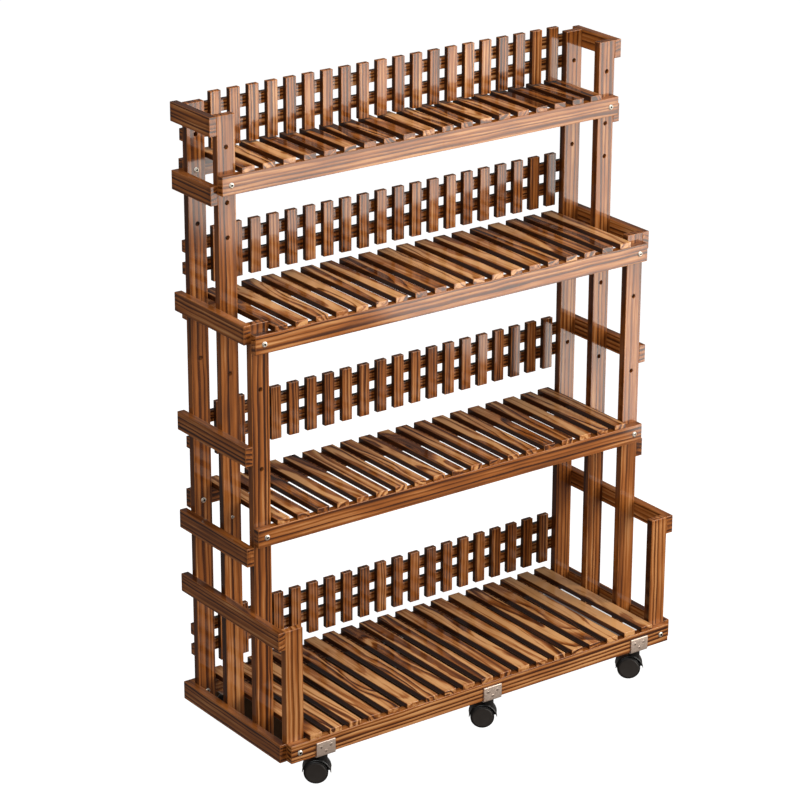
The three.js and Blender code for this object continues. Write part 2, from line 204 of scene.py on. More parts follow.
class StageSettings(bpy.types.PropertyGroup):
    floor_size: length("Floor size", "Side of the square floor", 60.0)
    floor_glow: amount("Floor glow", "What the camera sees of the floor besides its shading", 0.975)
    floor_colour: colour("Floor colour", "Under the lamps", "9a9a9a")
    floor_shade: colour("Floor shade", "Of the floor in the shadow of the lowest deck", "4a3626")
    mirror_glow: amount("Mirrored floor", "Strength of the floor in reflections", 0.12)
    world_strength: amount("World strength", "Even light", 0.13)
    panel_radiance: amount("Right panel", "Radiance of the soft panel at the right", 5.2)
    panel_tint: colour("Right panel tint", "A little warm, as the sheen on the varnish", "fffbf4")
    top_radiance: amount("Top panel", "Radiance of the soft panel overhead", 3.8)
    fill_radiance: amount("Left panel", "Radiance of the soft panel at the left", 4.8)
    camera_place: FloatVectorProperty(
        name="Camera place", description="Where the camera stands", size=3, unit="LENGTH",
        default=(-2.94231739, -3.94833187, 2.46520739)
    )
    camera_yaw: angle("Camera yaw", "From straight ahead to the right", 0.62829)
    camera_pitch: angle("Camera pitch", "Above the horizon", -0.37071)
    camera_roll: angle("Camera roll", "About the view", -0.00285)
    camera_lens: amount("Camera lens", "In millimetres", 142.097)


GROUPS = {
    "cart_boards": BoardSettings,
    "cart_fasteners": FastenerSettings,
    "cart_casters": CasterSettings,
    "cart_wood": WoodSettings,
    "cart_finish": FinishSettings,
    "cart_stage": StageSettings,
}


# ---- materials ----


class Term:
    """One socket of a material, with arithmetic that adds its own nodes."""

    def __init__(self, finish, socket):
        self.finish = finish
        self.socket = socket

    def __add__(self, other):
        return self.finish.maths("ADD", self, other)

    def __sub__(self, other):
        return self.finish.maths("SUBTRACT", self, other)

    def __rsub__(self, other):
        return self.finish.maths("SUBTRACT", other, self)

    def __mul__(self, other):
        return self.finish.maths("MULTIPLY", self, other)

    def __truediv__(self, other):
        return self.finish.maths("DIVIDE", self, other)

    def __abs__(self):
        return self.finish.maths("ABSOLUTE", self)

    __radd__ = __add__
    __rmul__ = __mul__


class Finish:
    """A material or a world being made: every node of it comes from here."""

    def __init__(self, owner):
        owner.use_nodes = True
        self.owner = owner
        self.tree = owner.node_tree
        self.tree.nodes.clear()

    def node(self, kind, settings=(), inputs=(), output=0):
        made = self.tree.nodes.new("ShaderNode" + kind)
        for name, value in dict(settings).items():
            if name == "stops":
                self.set_stops(made.color_ramp, value)
            else:
                setattr(made, name, value)
        for key, value in dict(inputs).items():
            self.feed(made.inputs[key], value)
        return Term(self, made.outputs[output]) if made.outputs else None

    def set_stops(self, ramp, stops):
        for _ in range(len(stops) - len(ramp.elements)):
            ramp.elements.new(0.5)
        for element, (position, tint) in zip(ramp.elements, stops):
            element.position = position
            element.color = (*tint, 1)

    def feed(self, socket, value):
        if isinstance(value, Term):
            self.tree.links.new(value.socket, socket)
        elif socket.type == "RGBA":
            socket.default_value = (*value, 1)
        elif socket.type == "VECTOR" and isinstance(value, (int, float)):
            socket.default_value = (value, value, value)
        else:
            socket.default_value = value

    def maths(self, operation, *values):
        given = [v for v in values if isinstance(v, Term)]
        on_vectors = any(v.socket.type == "VECTOR" for v in given)
        kind = "VectorMath" if on_vectors else "Math"
        return self.node(kind, {"operation": operation}, enumerate(values))

    def attribute(self, name, output="Fac"):
        return self.node("Attribute", {"attribute_name": name}, output=output)

    def parts(self, vector):
        """The three numbers of a vector."""
        split = self.tree.nodes.new("ShaderNodeSeparateXYZ")
        self.feed(split.inputs[0], vector)
        return [Term(self, socket) for socket in split.outputs]

    def vector(self, x, y, z):
        return self.node("CombineXYZ", inputs=enumerate((x, y, z)))

    def noise(self, vector, scale=1.0, detail=2.0, roughness=0.5, output="Fac"):
        inputs = {"Vector": vector, "Scale": scale, "Detail": detail, "Roughness": roughness}
        return self.node("TexNoise", inputs=inputs, output=output)

    def rise(self, value, low, high):
        """Nought below low, one above high and smooth between them."""
        inputs = {"Value": value, "From Min": low, "From Max": high}
        return self.node("MapRange", {"interpolation_type": "SMOOTHSTEP"}, inputs)

    def band(self, value, start, full, fading, end):
        """One from full to fading, and nought before the start and after the end."""
        return self.rise(value, start, full) * (1 - self.rise(value, fading, end))

    def peak(self, value, width):
        """One where the value is nought, fading to nought at the width."""
        return 1 - self.rise(abs(value), 0.0, width)

    def mix(self, factor, first, second, blend="MIX"):
        settings = {"data_type": "RGBA", "blend_type": blend, "clamp_factor": True}
        return self.node("Mix", settings, {0: factor, 6: first, 7: second}, output=2)

    def surface(self, height=None, depth=0.0, **inputs):
        """Ends the material in one Principled shader. Height is a bump of that depth in metres."""
        if height is not None:
            bump = {"Height": height, "Distance": depth, "Strength": 1.0}
            inputs["Normal"] = self.node("Bump", inputs=bump)
        named = {name.replace("_", " "): value for name, value in inputs.items()}
        shader = self.node("BsdfPrincipled", inputs=named)
        self.node("OutputMaterial", inputs={"Surface": shader})
        return self.owner


def wood_finish(
    name, ring=0.0085, wander=0.006, scorch=0.0, contrast=0.6, streaky=0.62, spread=0.36,
    painted_narrow_face_shade=0.0, knots=0.0,
):
    """Charred and varnished softwood. The attributes grain, place, half and tone come with each board.

    Grain is where a point lies in the log, with the pith along x; place is where it lies in the board.
    """
    wood = bpy.context.scene.cart_wood
    f = Finish(bpy.data.materials.new(name))
    grain, place, half = (f.attribute(name, "Vector") for name in ("grain", "place", "half"))
    tone = f.attribute("tone")

    drift, swirl = (f.noise(grain * scale, detail=2.0, output="Color") - 0.5 for scale in (DRIFT, SWIRL))
    along, across, deep = f.parts(grain + drift * wander + swirl * (wander * 0.35))
    radius = f.maths("SQRT", across * across + deep * deep)

    if knots:
        near = f.node("TexVoronoi", inputs={"Vector": grain * KNOTS, "Scale": 1.0}, output="Distance")
        radius = radius + f.peak(near, 0.55) * (knots * 0.014)

    spacing = f.noise(f.vector(radius * 55, 0.0, along * 0.5), detail=2.0)
    turns = radius / ring + spacing * 2.6
    step = f.maths("FRACT", turns)
    count = f.maths("FLOOR", turns)
    weight = f.node("TexWhiteNoise", {"noise_dimensions": "1D"}, {"W": count + tone * 31}, output="Value")
    line = f.band(step, 0.22, 0.82, 0.84, 1.0)
    fibres = f.noise(grain * FIBRES, detail=3.0, roughness=0.65) - 0.5
    streaks = f.noise(grain * STREAKS, detail=2.0, roughness=0.6) - 0.5
    blotches = f.noise(grain * BLOTCHES, detail=2.0) - 0.5

    to_end, to_side, to_rim = f.parts(half - abs(place))
    nearer, farther = (f.maths(pick, to_end, to_side) for pick in ("MINIMUM", "MAXIMUM"))
    to_edge = f.maths("MAXIMUM", nearer, f.maths("MINIMUM", farther, to_rim))
    end = f.peak(to_end, 0.014)
    # Painted shade: the narrow faces of a board, fading out 0.8 mm from them, are drawn darker, as if
    # shaded in the gaps between slats and pickets.
    rim = f.peak(to_rim + fibres * 0.0003, 0.0008)

    depth = line * (weight * 0.75 + 0.25) * contrast
    depth = depth + fibres * 0.34 + streaks * streaky + blotches * 0.62
    depth = depth + (tone - 0.5) * spread + end * 0.10 + rim * painted_narrow_face_shade + (0.27 + scorch)
    if knots:
        depth = depth + f.peak(near, 0.12) * 0.8

    stops = [(0.0, wood.pale), (0.34, wood.warm), (0.70, wood.brown), (1.0, wood.burnt)]
    tint = f.node("ValToRGB", {"stops": stops}, {"Fac": depth})
    worn = f.peak(to_edge + fibres * 0.0012, 0.0016)
    tint = f.mix(worn * 0.45, tint, wood.edge)
    return f.surface(
        height=fibres * 0.5 - line * weight,
        depth=0.00012,
        Base_Color=tint,
        Roughness=0.58 + fibres * 0.2,
        Coat_Weight=0.94 + blotches * 0.12,
        Coat_Roughness=wood.coat_roughness,
        Coat_IOR=wood.coat_index,
        Specular_IOR_Level=0.1,
    )


def steel_finish(name, setting, brushed, roughness):
    """Bright plated steel, drawn in one direction, with dull spots in the plating."""
    f = Finish(bpy.data.materials.new(name))
    tint = getattr(bpy.context.scene.cart_finish, setting)
    at = f.node("TexCoord", output="Object")
    drawn = f.noise(at * brushed, detail=3.0, roughness=0.6)
    dull = f.noise(at, scale=160, detail=2.0)
    marks = f.rise(f.noise(at, scale=700, detail=1.0), 0.60, 0.72)
    tinted = f.mix(drawn * 0.35, tint, tuple(v * 0.62 for v in tint))
    tinted = f.mix(marks * 0.35, tinted, tuple(v * 0.4 for v in tint))
    # Painted shade: the bottom of each socket or slot is drawn near black.
    tinted = f.mix(f.attribute("recess"), tinted, SOCKET_SHADE)
    return f.surface(
        height=drawn - marks * 0.4,
        depth=0.00004,
        Base_Color=tinted,
        Metallic=0.85,
        Roughness=roughness + dull * 0.18 + marks * 0.1,
    )


def plastic_finish(name, setting, roughness, worn=0.0):
    """Moulded plastic with a fine spark-eroded grain, scuffed paler where it rubs."""
    f = Finish(bpy.data.materials.new(name))
    tint = getattr(bpy.context.scene.cart_finish, setting)
    at = f.node("TexCoord", output="Object")
    pits = f.noise(at, scale=1 / PLASTIC_GRAIN, detail=2.0)
    cloudy = f.noise(at, scale=90, detail=2.0)
    scuffs = f.rise(f.noise(at * (1, 1, 2.6), scale=420, detail=3.0, roughness=0.7), 0.58, 0.70)
    paler = tuple(min(1.0, v * 1.9 + 0.006) for v in tint)
    return f.surface(
        height=pits,
        depth=0.00003,
        Base_Color=f.mix(cloudy * 0.5 + scuffs * worn, tint, paler),
        Roughness=roughness + (cloudy - 0.5) * 0.14 + scuffs * 0.12,
    )


# Each kind's narrow-face setting paints shade on the narrow faces of its boards, strongest on the slats and
# pickets.
WOODS = {
    "post": {"ring": 0.0085, "wander": 0.007, "scorch": 0.03, "contrast": 0.68, "painted_narrow_face_shade": 0.25},
    "rail": {"ring": 0.0078, "wander": 0.006, "scorch": 0.04, "contrast": 0.74, "painted_narrow_face_shade": 0.12},
    "slat": {
        "ring": 0.0105, "wander": 0.015, "scorch": -0.13, "contrast": 0.9, "streaky": 1.1,
        "spread": 0.5, "painted_narrow_face_shade": 0.9, "knots": 0.8,
    },
    "fence": {
        "ring": 0.0065, "wander": 0.007, "scorch": 0.03, "contrast": 0.75, "spread": 0.2,
        "painted_narrow_face_shade": 0.7,
    },
}


def material(name, make, *details, **more):
    """The material of that name, made the first time that it is asked for."""
    return bpy.data.materials.get(name) or make(name, *details, **more)


def wood(kind):
    return material(f"charred_{kind}_wood", wood_finish, **WOODS[kind])


def plate_steel():
    return material("brushed_zinc", steel_finish, "zinc", (30, 30, 900), 0.3)


def bolt_steel():
    return material("passivated_bolt", steel_finish, "bolt", (300, 300, 300), 0.28)


def hood_plastic():
    return material("hood_plastic", plastic_finish, "hood", 0.3)


def tread_plastic():
    return material("tread_plastic", plastic_finish, "wheel", 0.42, worn=0.6)


def hub_plastic():
    return material("hub_plastic", plastic_finish, "hub", 0.5, worn=0.25)


# ---- mesh tools ----


def object_of(bm, name):
    """An object in the scene that holds the mesh, which is used up."""
    mesh = bpy.data.meshes.new(name)
    bm.to_mesh(mesh)
    bm.free()
    made = bpy.data.objects.new(name, mesh)
    bpy.context.scene.collection.objects.link(made)
    return made


def combined(bm, tool, operation):
    """The first mesh with the second taken off it or joined to it. Both are used up."""
    solid = object_of(bm, "solid")
    cutter = object_of(tool, "cutter")
    step = solid.modifiers.new("combine", "BOOLEAN")
    step.operation = operation
    step.solver = "EXACT"
    step.object = cutter
    evaluated = solid.evaluated_get(bpy.context.evaluated_depsgraph_get())
    result = bmesh.new()
    result.from_mesh(evaluated.to_mesh())
    evaluated.to_mesh_clear()
    for temporary in (solid, cutter):
        mesh = temporary.data
        bpy.data.objects.remove(temporary)
        bpy.data.meshes.remove(mesh)
    return result


def merged(*pieces):
    """All the meshes in one. They are used up."""
    whole = pieces[0]
    for piece in pieces[1:]:
        mesh = bpy.data.meshes.new("piece")
        piece.to_mesh(mesh)
        piece.free()
        whole.from_mesh(mesh)
        bpy.data.meshes.remove(mesh)
    return whole


def bevelled(bm, edges, width, segments):
    bmesh.ops.bevel(
        bm, geom=edges, offset=width, offset_type="OFFSET", segments=segments, profile=0.5,
        affect="EDGES", clamp_overlap=True, material=-1,
    )
    return bm


def moved(bm, matrix):
    bmesh.ops.transform(bm, matrix=matrix, verts=bm.verts)
    return bm


def finished(name, bm, look, body, replaces=(), smooth=True):
    """The finished piece, riding on its body."""
    piece = object_of(bm, name)
    piece.data.materials.append(look)
    if smooth:
        piece.data.shade_smooth()
        piece.data.set_sharp_from_angle(angle=SHARP_ANGLE)
    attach(piece, body)
    if replaces:
        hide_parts(*replaces)


def turned(profile, flats):
    """A closed body turned about z from (radius, height) points that start and end on the axis."""
    bm = bmesh.new()
    corners = [bm.verts.new((radius, 0, height)) for radius, height in profile]
    edges = [bm.edges.new(pair) for pair in zip(corners, corners[1:])]
    bmesh.ops.spin(
        bm, geom=corners + edges, cent=(0, 0, 0), axis=Z_AXIS, angle=math.tau, steps=flats,
        use_merge=True,
    )
    bmesh.ops.remove_doubles(bm, verts=bm.verts, dist=1e-7)
    bmesh.ops.recalc_face_normals(bm, faces=bm.faces)
    return bm


def rounded(profile, corner, radius, steps=4):
    """The profile with one of its corners rounded."""
    before, at, after = (Vector(profile[corner + shift]) for shift in (-1, 0, 1))
    start = at + (before - at).normalized() * radius
    stop = at + (after - at).normalized() * radius
    curve = []
    for index in range(steps + 1):
        t = index / steps
        curve.append(tuple((1 - t) ** 2 * start + 2 * t * (1 - t) * at + t * t * stop))
    return profile[:corner] + curve + profile[corner + 1:]


def disc(radius, low, high, flats):
    """A round bar about z."""
    return turned([(0, low), (radius, low), (radius, high), (0, high)], flats)


def block(low, high):
    bm = bmesh.new()
    bmesh.ops.create_cube(bm, size=1)
    low, high = Vector(low), Vector(high)
    bmesh.ops.scale(bm, vec=high - low, verts=bm.verts)
    bmesh.ops.translate(bm, vec=(low + high) / 2, verts=bm.verts)
    return bm


def axes(x, y, z, at=(0, 0, 0)):
    """The matrix that takes the three axes to x, y and z, and the origin to a place."""
    turn = Matrix((x, y, z)).transposed().to_4x4()
    return Matrix.Translation(at) @ turn


FACING_FRONT = axes(X_AXIS, Z_AXIS, -Y_AXIS)   # takes +z to -y: a head on a face that looks to the front
FACING_REAR = axes(-X_AXIS, Z_AXIS, Y_AXIS)    # takes +z to +y


# ---- boards ----


class Log:
    """Where a board was sawn out of its log: the way to the pith, the tilt of the grain and a tone."""

    def __init__(self, name, kind, palest=0.0, darkest=1.0):
        draw = random.Random(name)
        side = draw.choice((-1, 1))
        if kind == "straight":
            self.pith = Vector((0, draw.uniform(-0.030, 0.030), side * draw.uniform(0.060, 0.110)))
            self.tilt = (draw.uniform(-0.010, 0.010), draw.uniform(-0.010, 0.010))
        else:
            self.pith = Vector((0, side * draw.uniform(0.006, 0.040), draw.uniform(-0.030, 0.030)))
            self.tilt = (draw.uniform(-0.07, 0.07), draw.uniform(-0.05, 0.05))
        self.pith.x = draw.uniform(0, 9)
        self.tone = draw.uniform(palest, darkest)

    def matrix(self):
        tilt = Matrix.Rotation(self.tilt[0], 4, "Z") @ Matrix.Rotation(self.tilt[1], 4, "Y")
        return Matrix.Translation(self.pith) @ tilt


def board(low, high, along, through, log, holes=()):
    """One sawn board between two corners, its grain along one axis and its thickness through another.

    Holes are bored through its thickness at the given distances along the grain from its middle.
    """
    low, high = Vector(low), Vector(high)
    across = along.cross(through)
    size = [abs((high - low).dot(axis)) for axis in (along, through, across)]
    half = Vector(size) / 2
    boards = bpy.context.scene.cart_boards
    bm = block(-half, half)
    bevelled(bm, bm.edges[:], boards.rounding, 2)
    if holes:
        bores = []
        for at in holes:
            bore = disc(boards.hole_diameter / 2, -size[1], size[1], BORE_FLATS)
            bores.append(moved(bore, axes(X_AXIS, Z_AXIS, -Y_AXIS, (at, 0, 0))))
        bm = combined(bm, merged(*bores), "DIFFERENCE")
    vector_layer = bm.verts.layers.float_vector
    layers = {name: vector_layer.new(name) for name in ("grain", "place", "half")}
    tone = bm.verts.layers.float.new("tone")
    into_log = log.matrix()
    for vert in bm.verts:
        vert[layers["grain"]] = into_log @ vert.co
        vert[layers["place"]] = vert.co
        vert[layers["half"]] = half
        vert[tone] = log.tone
    return moved(bm, axes(along, through, across, (low + high) / 2))


def add_boards(name, kind, node, *boards):
    """Boards of one kind of wood, as one piece that takes the place of the node."""
    finished(name, merged(*boards), wood(kind), "stand", [node], smooth=False)


def row_of(width, pitch):
    """The centres of the boards of one width that fit side by side between the end frames."""
    clear = 2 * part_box("right_front_post")[0].x
    count = math.floor((clear - width) / pitch + 1e-6) + 1
    return [(index - (count - 1) / 2) * pitch for index in range(count)]


def bolt_heights():
    """The height of each tier's bolts, which is the middle of its front rail."""
    corners = [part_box(f"tier_{tier}_front_rail") for tier in TIERS]
    return [(low.z + high.z) / 2 for low, high in corners]


def bolt_columns():
    """The x of the bolts at the left and at the right, which is the middle of the posts."""
    corners = [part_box(f"{side}_front_post") for side in SIDES]
    return [(low.x + high.x) / 2 for low, high in corners]


def holes_of(node):
    """The heights of a post's holes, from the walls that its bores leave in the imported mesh."""
    low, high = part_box(node)
    middle = (low + high) / 2
    mesh = frame["nodes"][node].data
    radius = bpy.context.scene.cart_boards.hole_diameter / 2
    heights = sorted({
        round(vert.co.z, 4) for vert in mesh.vertices
        if abs(vert.co.x - middle.x) < radius * 0.5 and low.z + radius < vert.co.z < high.z - radius
    })
    bores = []
    for height in heights:
        if bores and height - bores[-1][0] < 2.2 * radius:
            bores[-1].append(height)
        else:
            bores.append([height])
    return [(group[0] + group[-1]) / 2 for group in bores]


class CART_OT_posts(bpy.types.Operator):
    """Add the eight drilled posts of the two end frames"""

    bl_idname = "cart.posts"
    bl_label = "Posts"

    def execute(self, context):
        for side in SIDES:
            for post in POST_NAMES:
                node = f"{side}_{post}"
                low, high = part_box(node)
                middle = (low.z + high.z) / 2
                holes = [height - middle for height in holes_of(node)]
                log = Log(node, "straight", POST_TONES[post] - 0.15, POST_TONES[post] + 0.15)
                post_board = board(low, high, Z_AXIS, Y_AXIS, log, holes)
                add_boards(f"{node}_board", "post", node, post_board)
        return {"FINISHED"}


class CART_OT_side_rails(bpy.types.Operator):
    """Add the side rails, seven to each end frame"""

    bl_idname = "cart.side_rails"
    bl_label = "Side rails"

    def execute(self, context):
        for side in SIDES:
            for number in range(1, SIDE_RAIL_COUNT + 1):
                node = f"{side}_side_rail_{number}"
                low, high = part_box(node)
                log = Log(node, "straight", 0.3, 0.8)
                add_boards(f"{node}_board", "rail", node, board(low, high, Y_AXIS, X_AXIS, log))
        return {"FINISHED"}


class CART_OT_shelf_rails(bpy.types.Operator):
    """Add the front and the rear rail of every tier"""

    bl_idname = "cart.shelf_rails"
    bl_label = "Shelf rails"

    def execute(self, context):
        thickness = context.scene.cart_boards.slat_thickness
        holes = bolt_columns()
        for tier in TIERS:
            node = f"tier_{tier}_front_rail"
            low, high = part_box(node)
            tone = RAIL_TONES[tier]
            log = Log(f"tier {tier} front rail", "straight", tone, tone)
            add_boards(f"{node}_board", "rail", node, board(low, high, X_AXIS, Y_AXIS, log, holes))
            deck = f"tier_{tier}_slat_deck"
            deck_low, deck_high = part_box(deck)
            rear_low = (deck_low.x, deck_high.y - (high.y - low.y), deck_low.z)
            rear_high = (deck_high.x, deck_high.y, deck_high.z - thickness)
            log = Log(f"tier {tier} rear rail", "straight")
            rear = board(rear_low, rear_high, X_AXIS, Y_AXIS, log, holes)
            add_boards(f"tier_{tier}_rear_rail", "rail", deck, rear)
        return {"FINISHED"}


class CART_OT_slats(bpy.types.Operator):
    """Add the slats of every tier"""

    bl_idname = "cart.slats"
    bl_label = "Slats"

    def execute(self, context):
        boards = context.scene.cart_boards
        for tier in TIERS:
            deck = f"tier_{tier}_slat_deck"
            low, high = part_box(deck)
            slats = []
            for number, x in enumerate(row_of(boards.slat_width, boards.slat_pitch)):
                corner = (x - boards.slat_width / 2, low.y, high.z - boards.slat_thickness)
                opposite = (x + boards.slat_width / 2, high.y, high.z)
                log = Log(f"tier {tier} slat {number}", "swirled", *SLAT_TONES_WITH_PAINTED_LIGHT[tier])
                slats.append(board(corner, opposite, Y_AXIS, Z_AXIS, log))
            add_boards(f"tier_{tier}_slats", "slat", deck, *slats)
        return {"FINISHED"}


class CART_OT_fences(bpy.types.Operator):
    """Add the pickets and the two rails of every fence"""

    bl_idname = "cart.fences"
    bl_label = "Picket fences"

    def execute(self, context):
        boards = context.scene.cart_boards
        for tier in TIERS:
            fence = f"tier_{tier}_picket_fence"
            low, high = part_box(fence)
            seam = low.y + boards.picket_thickness
            pickets = []
            for number, x in enumerate(row_of(boards.picket_width, boards.picket_pitch)):
                corner = (x - boards.picket_width / 2, low.y, low.z)
                opposite = (x + boards.picket_width / 2, seam, high.z)
                log = Log(f"tier {tier} picket {number}", "straight")
                pickets.append(board(corner, opposite, Z_AXIS, Y_AXIS, log))
            add_boards(f"tier_{tier}_pickets", "fence", fence, *pickets)
            rails = []
            for sign in (-1, 1):
                middle = (low.z + high.z + sign * boards.fence_rail_spacing) / 2
                corner = (low.x, seam, middle - boards.fence_rail_height / 2)
                opposite = (high.x, high.y, middle + boards.fence_rail_height / 2)
                log = Log(f"tier {tier} fence rail {sign}", "straight")
                rails.append(board(corner, opposite, X_AXIS, Y_AXIS, log))
            add_boards(f"tier_{tier}_fence_rails", "fence", fence, *rails)
        return {"FINISHED"}


# ---- bolts and screws ----


def with_socket_shade(head, radius, height):
    """The head, with an attribute at one at the bottom of its socket or slot, where painted shade darkens
    the steel.
    """
    layer = head.verts.layers.float.new("recess")
    for vert in head.verts:
        vert[layer] = float(vert.co.xy.length < radius and vert.co.z < height and vert.co.z > 0)
    return head


def button_head(radius, height, socket):
    """A button head on z 0 with a six-sided socket."""
    rim = 0.25
    profile = [(0, 0), (radius, 0), (radius, height * rim)]
    steps = 6
    crown = math.radians(66)
    for index in range(1, steps + 1):
        turn = index / steps * crown
        spread = radius * 0.5 * (1 + math.cos(turn * math.pi / crown / 1.35))
        climb = rim + (1 - rim) * math.sin(turn) / math.sin(crown)
        profile.append((max(socket * 1.15, spread), height * climb))
    profile.append((0, height))
    head = turned(profile, HEAD_FLATS)
    bore = disc(socket, height * 0.12, height * 2, HEXAGON)
    head = combined(head, bore, "DIFFERENCE")
    return with_socket_shade(head, socket * 1.02, height * 0.5)


def nut_and_end(bolt_radius):
    """A washer, a nut and the end of the bolt, standing on z 0."""
    sizes = bpy.context.scene.cart_fasteners
    seat = sizes.washer_height
    washer = [(0, 0), (sizes.washer_radius, 0), (sizes.washer_radius, seat), (0, seat)]
    washer = turned(rounded(washer, 2, 0.0003), HEAD_FLATS)
    top = seat + sizes.nut_height
    nut = disc(sizes.nut_radius, seat, top, HEXAGON)
    bevelled(nut, nut.edges[:], 0.0003, 1)
    tip = top + 0.0011
    end = [(0, top), (bolt_radius, top), (bolt_radius, top + 0.0006), (bolt_radius - 0.0005, tip), (0, tip)]
    end = turned(end, BORE_FLATS)
    return merged(washer, nut, end)


class CART_OT_bolts(bpy.types.Operator):
    """Add the bolts that hold the front and rear rails to the posts, with their nuts"""

    bl_idname = "cart.bolts"
    bl_label = "Rail bolts"

    def execute(self, context):
        sizes = context.scene.cart_fasteners
        head = button_head(sizes.head_radius, sizes.head_height, sizes.socket_radius)
        nut = nut_and_end(sizes.bolt_radius)
        rear_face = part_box("left_rear_post")[0].y
        for tier, height in zip(TIERS, bolt_heights()):
            low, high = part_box(f"tier_{tier}_front_rail")
            post_back = high.y + (high.y - low.y)
            rail_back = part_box(f"tier_{tier}_slat_deck")[1].y
            for row, head_y, nut_y in (("front", low.y, post_back), ("rear", rear_face, rail_back)):
                parts = []
                for x in bolt_columns():
                    turn = Matrix.Rotation(random.Random(f"{row}{tier}{x:.2f}").uniform(0, 6), 4, "Z")
                    front = Matrix.Translation((x, head_y, height))
                    back_face = Matrix.Translation((x, nut_y, height))
                    shank = disc(sizes.bolt_radius, 0, nut_y - head_y, BORE_FLATS)
                    parts.append(moved(head.copy(), front @ FACING_FRONT @ turn))
                    parts.append(moved(nut.copy(), back_face @ FACING_REAR @ turn))
                    parts.append(moved(shank, front @ FACING_REAR))
                finished(f"tier_{tier}_{row}_bolts", merged(*parts), bolt_steel(), "stand")
        head.free()
        nut.free()
        return {"FINISHED"}


class CART_OT_post_screws(bpy.types.Operator):
    """Add the small screw in each upper post at the height of the second tier's bolts"""

    bl_idname = "cart.post_screws"
    bl_label = "Upper post screws"

    def execute(self, context):
        sizes = context.scene.cart_fasteners
        height = bolt_heights()[1]
        for side, x in zip(SIDES, bolt_columns()):
            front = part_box(f"{side}_upper_post")[0].y
            head = button_head(sizes.screw_radius, 0.001, sizes.socket_radius * 0.6)
            moved(head, Matrix.Translation((x, front, height)) @ FACING_FRONT)
            finished(f"{side}_upper_post_screw", head, bolt_steel(), "stand")
        return {"FINISHED"}


# ---- casters ----


def caster_names():
    return [f"{row}_{place}" for row in ROWS for place in PLACES]


def caster_frame(name):
    """The matrix of a caster: its origin on the swivel axis under the plate, y along the axle."""
    swivel = JOINTS[f"{name}_swivel_turn"]
    axle = Vector(JOINTS[f"{name}_wheel_1_spin"]["axis"])
    return axes(axle.cross(Z_AXIS), axle, Z_AXIS, swivel["pos_m"])


def plate_frame(name):
    """The matrix of a caster plate: its origin on the rail's lower outer edge, y towards the rail."""
    low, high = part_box(f"{name}_caster_plate")
    sizes = bpy.context.scene.cart_casters
    at_front = name.startswith("front")
    y = low.y + sizes.plate_thickness if at_front else high.y - sizes.plate_thickness
    at = ((low.x + high.x) / 2, y, low.z + sizes.plate_thickness)
    sign = 1 if at_front else -1
    return axes(X_AXIS * sign, Y_AXIS * sign, Z_AXIS, at)


def stem_profile(extra, below, top):
    sizes = bpy.context.scene.cart_casters
    head_top = sizes.plate_thickness - sizes.clearance
    head_base = head_top - 0.0012
    shank = sizes.stem_radius + extra
    head = sizes.stem_head_radius + extra
    return [(0, -below), (shank, -below), (shank, head_base), (head, head_top), (head, top), (0, top)]


def angle_plate(name):
    """Bent sheet: an upright leaf on the rail's face and a flat leaf under it, bored for the stem."""
    sizes = bpy.context.scene.cart_casters
    low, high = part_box(f"{name}_caster_plate")
    thick = sizes.plate_thickness
    width = high.x - low.x
    upstand = high.z - low.z - thick
    depth = high.y - low.y - thick
    upright = block((-width / 2, -thick, 0), (width / 2, 0, upstand))
    flat = block((-width / 2, 0, -thick), (width / 2, depth, 0))
    bend = disc(thick, -width / 2, width / 2, HEAD_FLATS)
    moved(bend, axes(Z_AXIS, Y_AXIS, -X_AXIS))
    keep = block((-width, -2 * thick, -2 * thick), (width, 0, 0))
    bend = combined(bend, keep, "INTERSECT")
    plate = combined(combined(upright, bend, "UNION"), flat, "UNION")
    bmesh.ops.dissolve_limit(plate, angle_limit=math.radians(1), verts=plate.verts, edges=plate.edges)
    near = 1e-6
    corners = [
        edge for edge in plate.edges
        if all(abs(abs(vert.co.x) - width / 2) < near for vert in edge.verts)
        and (all(abs(vert.co.z - upstand) < near for vert in edge.verts)
             or all(abs(vert.co.y - depth) < near for vert in edge.verts))
    ]
    bevelled(plate, corners, 0.0018, 4)
    swivel = Vector(JOINTS[f"{name}_swivel_turn"]["pos_m"])
    axis_at = plate_frame(name).inverted() @ swivel
    bore = turned(stem_profile(sizes.clearance, 2 * thick, 2 * thick), HEAD_FLATS)
    moved(bore, Matrix.Translation(axis_at))
    plate = combined(plate, bore, "DIFFERENCE")
    return moved(plate, plate_frame(name))


def pan_head(radius, height):
    """A low round head on z 0 with one straight slot."""
    profile = [
        (0, 0), (radius, 0), (radius * 0.96, height * 0.5), (radius * 0.75, height * 0.92),
        (radius * 0.4, height), (0, height),
    ]
    head = turned(profile, HEAD_FLATS)
    long, wide = radius * 0.7, radius * 0.2
    slot = block((-long, -wide, height * 0.2), (long, wide, height * 2))
    return with_socket_shade(combined(head, slot, "DIFFERENCE"), radius * 0.8, height * 0.5)


class CART_OT_caster_plates(bpy.types.Operator):
    """Add the six angle plates with their screws"""

    bl_idname = "cart.caster_plates"
    bl_label = "Caster plates"

    def execute(self, context):
        sizes = context.scene.cart_fasteners
        thick = context.scene.cart_casters.plate_thickness
        spread = sizes.screw_spread / 2
        spots = ((-spread, sizes.upper_screws), (spread, sizes.upper_screws), (0, sizes.lower_screw))
        for name in caster_names():
            node = f"{name}_caster_plate"
            finished(f"{node}_sheet", angle_plate(name), plate_steel(), "stand", [node])
            heads = []
            draw = random.Random(name)
            for x, z in spots:
                turn = Matrix.Rotation(draw.uniform(0.5, 1.2), 4, "Z")
                at = plate_frame(name) @ Matrix.Translation((x, -thick, z)) @ FACING_FRONT @ turn
                heads.append(moved(pan_head(sizes.screw_radius, sizes.screw_height), at))
            finished(f"{name}_caster_screws", merged(*heads), plate_steel(), "stand")
        return {"FINISHED"}


